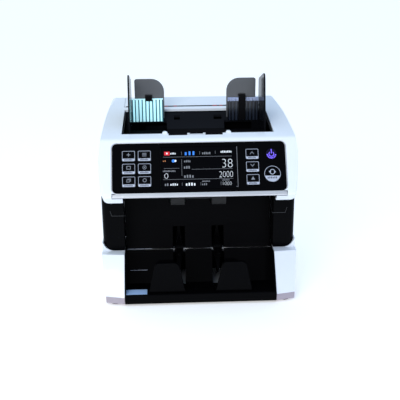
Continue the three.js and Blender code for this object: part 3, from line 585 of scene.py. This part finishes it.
def restart_key_artwork():
    """The ring, the filled lower part and the two bent arrows of the round key."""
    radius = 10.0
    angles = [math.radians(a) for a in range(193, 348, 4)]
    lower = [(radius * math.cos(a), radius * math.sin(a)) for a in angles]
    rim = ring(disc(0, 0, radius + 0.1, 64), disc(0, 0, radius - 0.4, 64))
    v = 2.6  # the middle of the arrows
    bends = [arc_band(0, v, 2.6, 3.4, start, start + 150) for start in (15, 195)]
    heads = [[(-4.6, 3.4), (-3.0, 1.2), (-1.6, 3.6)], [(4.6, 1.8), (3.0, 4.0), (1.6, 1.6)]]
    artwork("key_restart_print", [*rim, lower, *bends, *heads], on_key("key_restart"),
            KEY_TOP, KEY_PRINT, "silver_print_and_highlight", "key_restart")
    caption("key_restart", -6.2, 6.2, -6.0, -3.6)


BEZEL_HALF = (108.1, 32.3)
BEZEL_LINE = 0.7


def panel_bezel():
    """The thin bright line round the panel."""
    width, height = BEZEL_HALF
    outer = rounded(-width, width, -height, height, 6.9, 8)
    width, height = width - BEZEL_LINE, height - BEZEL_LINE
    inner = rounded(-width, width, -height, height, 6.3, 8)
    artwork("panel_bezel", ring(outer, inner), panel_place(), -0.35, 0.5,
            "silver_trim", "casing")


# ---- detail pieces -----------------------------------------------------------------------------

FACING_FRONT = Matrix.Rotation(math.pi / 2, 4, "X")  # drawn (x, z), thickness towards -Y
FACING_BACK = Matrix.Rotation(math.pi, 4, "Z") @ FACING_FRONT  # drawn (-x, z), thickness towards +Y
FACING_RIGHT = Matrix.Rotation(math.pi / 2, 4, "Z") @ FACING_FRONT  # drawn (y, z), thickness towards +X
FACING_DOWN = Matrix.Rotation(math.pi, 4, "X")  # drawn (x, -y), thickness towards -Z


def soften(made, width, segments=EDGE_STEPS):
    """Rounds a piece's sharp edges by a width in mm."""
    edge = made.modifiers.new("edge", "BEVEL")
    edge.width = width * MM
    edge.segments = segments
    edge.limit_method = "ANGLE"
    edge.angle_limit = SHARP
    made.data.polygons.foreach_set("use_smooth", [True] * len(made.data.polygons))
    made.modifiers.new("shading", "WEIGHTED_NORMAL").keep_sharp = True
    return made


def corner_mm(node, which):
    """A node's lowest (0) or highest (1) corner in mm."""
    return Vector(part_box(node)[which]) / MM


def rear_gap():
    """A black sheet in the gap behind the hopper's rim, painted shade for the gap's dark depth, with four
    red retaining clips in it.
    """
    front, back = 41.2, 44.7  # the gap between the rim and the rear cover
    bottom, top_front, top_back = 214, 225.15, 225.7
    half_width = 94.5
    gap_outline = [(front, bottom), (back, bottom), (back, top_back), (front, top_front)]
    artwork("rim_gap_shade", [gap_outline], FACING_RIGHT, -half_width, 2 * half_width,
            "black_plastic", "casing")

    play, depth, stand = 0.2, 2.7, 0.3
    clip = [(front + play, top_back - depth), (back - play, top_back - depth),
            (back - play, top_back + stand), (front + play, top_front + stand + 0.05)]
    for number, (x0, x1) in enumerate([(-41.7, -36.9), (-29.3, -24.5), (24.7, 31.0), (34.0, 38.6)]):
        soften(artwork(f"rear_clip_{number}", [clip], FACING_RIGHT, x0, x1 - x0,
                       "clip_red", "casing"), 0.3)


def feed_guide():
    """The dark ribbed guide that closes the space between the hopper's back and the chute."""
    low, high = corner_mm("hopper_tray", 0), corner_mm("hopper_tray", 1)
    plane = high.y + 3.5
    bottom, top = low.z - 10, high.z + 1.5
    thick, rib_height, rib_half, rib_pitch = 1.4, 2.2, 0.9, high.x / 4.5
    artwork("feed_guide", [rounded(low.x, high.x, bottom, top, 2)], FACING_BACK, plane, thick,
            "black_plastic", "casing")
    middles = [rib_pitch * k for k in range(-4, 5)]
    ribs = [bar(x - rib_half, x + rib_half, bottom + 4, top - 3) for x in middles]
    soften(artwork("feed_guide_ribs", ribs, FACING_BACK, plane + thick, rib_height,
                   "black_plastic", "casing"), 0.3, 2)


def notch_details():
    """Two lugs at the ends of the finger notch and the small bracket between them."""
    lug_back, lug_thick = 56.6, 4.6
    for name, x in (("notch_lug_left", -41.5), ("notch_lug_right", 38.5)):
        bump = [(x - 3.6, 209.5), (x + 3.6, 209.5), (x + 3.2, 212.4),
                (x + 1.6, 213.6), (x - 1.6, 213.6), (x - 3.2, 212.4)]
        soften(artwork(name, [bump], FACING_FRONT, lug_back, lug_thick,
                       "white_abs", "casing"), 0.8)

    bracket_back, bracket_thick = 57.2, 1.6
    middle, half, bottom, shelf, top = -2.0, 11.5, 206.8, 209.6, 210.8
    bracket = [(middle - half, bottom), (middle + half, bottom),
               (middle + half, top), (middle + half - 3, top), (middle + half - 3.3, shelf),
               (middle - half + 3.3, shelf), (middle - half + 3, top), (middle - half, top)]
    soften(artwork("notch_bracket", [bracket], FACING_FRONT, bracket_back, bracket_thick,
                   "white_abs", "casing"), 0.3)


def wheel_shroud():
    """The dark curved wall behind the stacker wheels, seen through their slots."""
    low, high = corner_mm("stacker_shaft", 0), corner_mm("stacker_shaft", 1)
    y, z = (low.y + high.y) / 2, (low.z + high.z) / 2
    radius, thick, half_width = 34.4, 0.8, 44
    curve = arc_band(y, z, radius, radius + thick, -74, 76, 24)
    artwork("wheel_shroud", [curve], FACING_RIGHT, -half_width, 2 * half_width,
            "black_plastic", "casing")


def tray_details():
    """A pale glossy strip on the lip's left end as a painted reflection, and painted highlights along the
    seam lines at the pocket's left end.
    """
    lip_height = 12.0
    lip_top = corner_mm("output_tray", 0).z + lip_height
    reflection_outline = rounded(-95.6, -68.5, -112.6, -98.4, 0.8)
    artwork("lip_reflection", [reflection_outline], Matrix.Identity(4), lip_top, 0.25,
            "pale_reflection", "casing")

    def seam(name, height, stretches, lift, thick):
        loops = [bar(x0, x1, height, height + 0.4) for x0, x1 in stretches]
        artwork(name, loops, FACING_FRONT, lift, thick, "silver_print_and_highlight", "casing")

    # Painted highlights: thin silver lines where light catches the seams at the pocket's left end.
    seam("pocket_highlight", 50.9, [(-95.4, -86), (-84.5, -72.6), (-71.5, -62)], 48.1, 0.4)
    seam("low_pocket_highlight", 25.1, [(-91.5, -69)], 59.7, 0.5)


def side_panel_seams():
    """A faint moulded ridge down and across the front of each black side panel, coloured grey as a painted
    highlight where it catches the light.
    """
    front = -corner_mm("side_panel_left", 0).y
    height, line = 105.3, 0.4
    corners = [(114, height + 7.5), (112, height + line), (94.8, height + line), (94.8, height),
               (112.3, height), (114.4, height + 7.5)]
    for side, name in ((-1, "left"), (1, "right")):
        artwork(f"side_ridge_highlight_{name}", [[(side * x, z) for x, z in corners]], FACING_FRONT,
                front - 0.05, 0.15, "ridge_highlight_grey", "casing")


def screw(name, u, v, place, lift, radius, body):
    """A pan head whose cross recess is a thin black cross laid on its top, painted shade in place of a cut
    recess.
    """
    arm, slot, height = radius * 0.55, radius * 0.13, radius * 0.45
    cross = [(slot, slot), (arm, slot), (arm, -slot), (slot, -slot), (slot, -arm), (-slot, -arm),
             (-slot, -slot), (-arm, -slot), (-arm, slot), (-slot, slot), (-slot, arm), (slot, arm)]
    head = artwork(name, [disc(u, v, radius, 28)], place, lift, height, "steel", body)
    soften(head, radius * 0.3)
    # painted shade: a black cross stands for the recess's depth
    artwork(name + "_recess_shade", [[(u + a, v + b) for a, b in cross]], place, lift + height, 0.04,
            "black_plastic", body)


def rear_details():
    """Two banks of vents, painted on as black slots of shade, and a finger pull on the rear cover, and the
    rear panel's screws.
    """
    cover = corner_mm("rear_cover", 1).y - 0.1
    middle, half, bottom, height, pitch = 48, 26, 150, 2.2, 5.2
    for side, name in ((-1, "right"), (1, "left")):
        u = side * middle
        slots = [rounded(u - half, u + half, bottom + pitch * k, bottom + pitch * k + height, 1.0)
                 for k in range(8)]
        # painted shade: black strips stand for the vent openings
        artwork(f"rear_vent_shades_{name}", slots, FACING_BACK, cover, 0.25,
                "black_plastic", "rear_cover")

    pull = ring(rounded(-20, 20, 172, 186, 4), rounded(-18, 18, 174, 184, 3))
    soften(artwork("rear_pull", pull, FACING_BACK, cover, 0.9,
                   "white_abs", "rear_cover"), 0.3)

    face = corner_mm("power_inlet", 1).y  # the inlet ends flush with the rear panel
    places = [(-91, 12), (91, 12), (-91, 44), (91, 44), (-54, 29), (-87, 29)]
    for number, (u, v) in enumerate(places):
        screw(f"rear_screw_{number}", u, v, FACING_BACK, face, 2.2, "casing")


def solder(name, loops, height, material, lift=0.0):
    """Puts outlines on the back face of the main board."""
    face = corner_mm("main_board", 1).y - 0.05
    return artwork(name, loops, FACING_BACK, face + lift, height, material, "casing")


def board_chips():
    """Five chips, each a body between two rows of legs."""
    chips = [(-42, 112, 11, 11), (18, 98, 8, 8), (52, 124, 7, 5), (52, 106, 7, 5), (-6, 128, 7, 5)]
    bodies = [rounded(u - a, u + a, v - b, v + b, 0.6) for u, v, a, b in chips]
    soften(solder("board_chips", bodies, 1.8, "black_plastic"), 0.2)

    pitch, leg_width = 1.6, 0.7
    legs = []
    for u, v, a, b in chips:
        for middle in (u - a - 0.8, u + a + 0.8):
            for k in range(int((2 * b - 1.2) / pitch)):
                bottom = v - b + 1 + pitch * k
                legs.append(bar(middle - 0.9, middle + 0.9, bottom, bottom + leg_width))
    solder("board_chip_legs", legs, 0.5, "port_metal")


def board_capacitors():
    """Round cans, four in a row at the top left, each with a bright top."""
    height = 8
    cans = [(-74 + 11 * k, 140) for k in range(4)] + [(62, 78), (74, 78), (-78, 98)]
    sides = [disc(u, v, 4, 28) for u, v in cans]
    soften(solder("board_capacitors", sides, height, "can_blue"), 0.5)
    tops = [disc(u, v, 3.2, 28) for u, v in cans]
    solder("board_capacitor_tops", tops, 0.1, "port_metal", height)


def board_sockets():
    """A row of open white sockets along the bottom, with their pins."""
    bottom, top, wall, pitch = 70, 77, 1, 2.5
    walls, pins = [], []
    for u, half in [(-50, 10), (-22, 7), (4, 12), (34, 7)]:
        walls += ring(rounded(u - half, u + half, bottom, top, 0.6),
                      rounded(u - half + wall, u + half - wall, bottom + wall, top - wall, 0.4))
        for k in range(int((2 * half - 4) / pitch) + 1):
            left = u - half + 2.2 + pitch * k
            pins.append(bar(left, left + 0.7, 73.1, 73.8))
    solder("board_sockets", walls, 6, "white_abs")
    solder("board_pins", pins, 5, "port_metal")


def board_tracks():
    """Four bundles of copper tracks under green lacquer."""
    pitch, width = 2, 0.6
    tracks = [bar(-30, 9, 105 + pitch * k, 105 + pitch * k + width) for k in range(4)]
    tracks += [bar(27, 44, 101 + pitch * k, 101 + pitch * k + width) for k in range(4)]
    tracks += [bar(-48 + pitch * k, -48 + pitch * k + width, 78, 100) for k in range(6)]
    tracks += [bar(2 + pitch * k, 2 + pitch * k + width, 78, 89) for k in range(6)]
    solder("board_tracks", tracks, 0.1, "track_green")


def underside_details():
    """The base pan's screws and the row of slots in its middle, painted on as black strips of shade."""
    lift = -corner_mm("base_pan", 0).z
    for number, (x, y) in enumerate([(-85, 85), (85, 85), (-85, -100), (85, -100), (0, 85), (0, -100)]):
        screw(f"base_screw_{number}", x, y, FACING_DOWN, lift, 2.4, "casing")
    width, pitch = 5, 9
    slots = [rounded(-34 + pitch * k, -34 + pitch * k + width, -40, 30, 2.2) for k in range(8)]
    # painted shade: black strips stand for the slot openings
    artwork("base_vent_shades", slots, FACING_DOWN, lift, 0.05, "black_plastic", "casing")


make_camera()
make_studio()
MATERIALS = palette()
SLOTS = {part["node"]: part["material_slot"] for part in frame["record"]["subparts"]}
for name in frame["nodes"]:
    refine(name, MATERIALS, SLOTS)

screen_artwork()
key_artwork()
power_key_artwork()
restart_key_artwork()
panel_bezel()
rear_gap()
feed_guide()
notch_details()
wheel_shroud()
tray_details()
side_panel_seams()
rear_details()
board_chips()
board_capacitors()
board_sockets()
board_tracks()
underside_details()

bpy.context.view_layer.update()
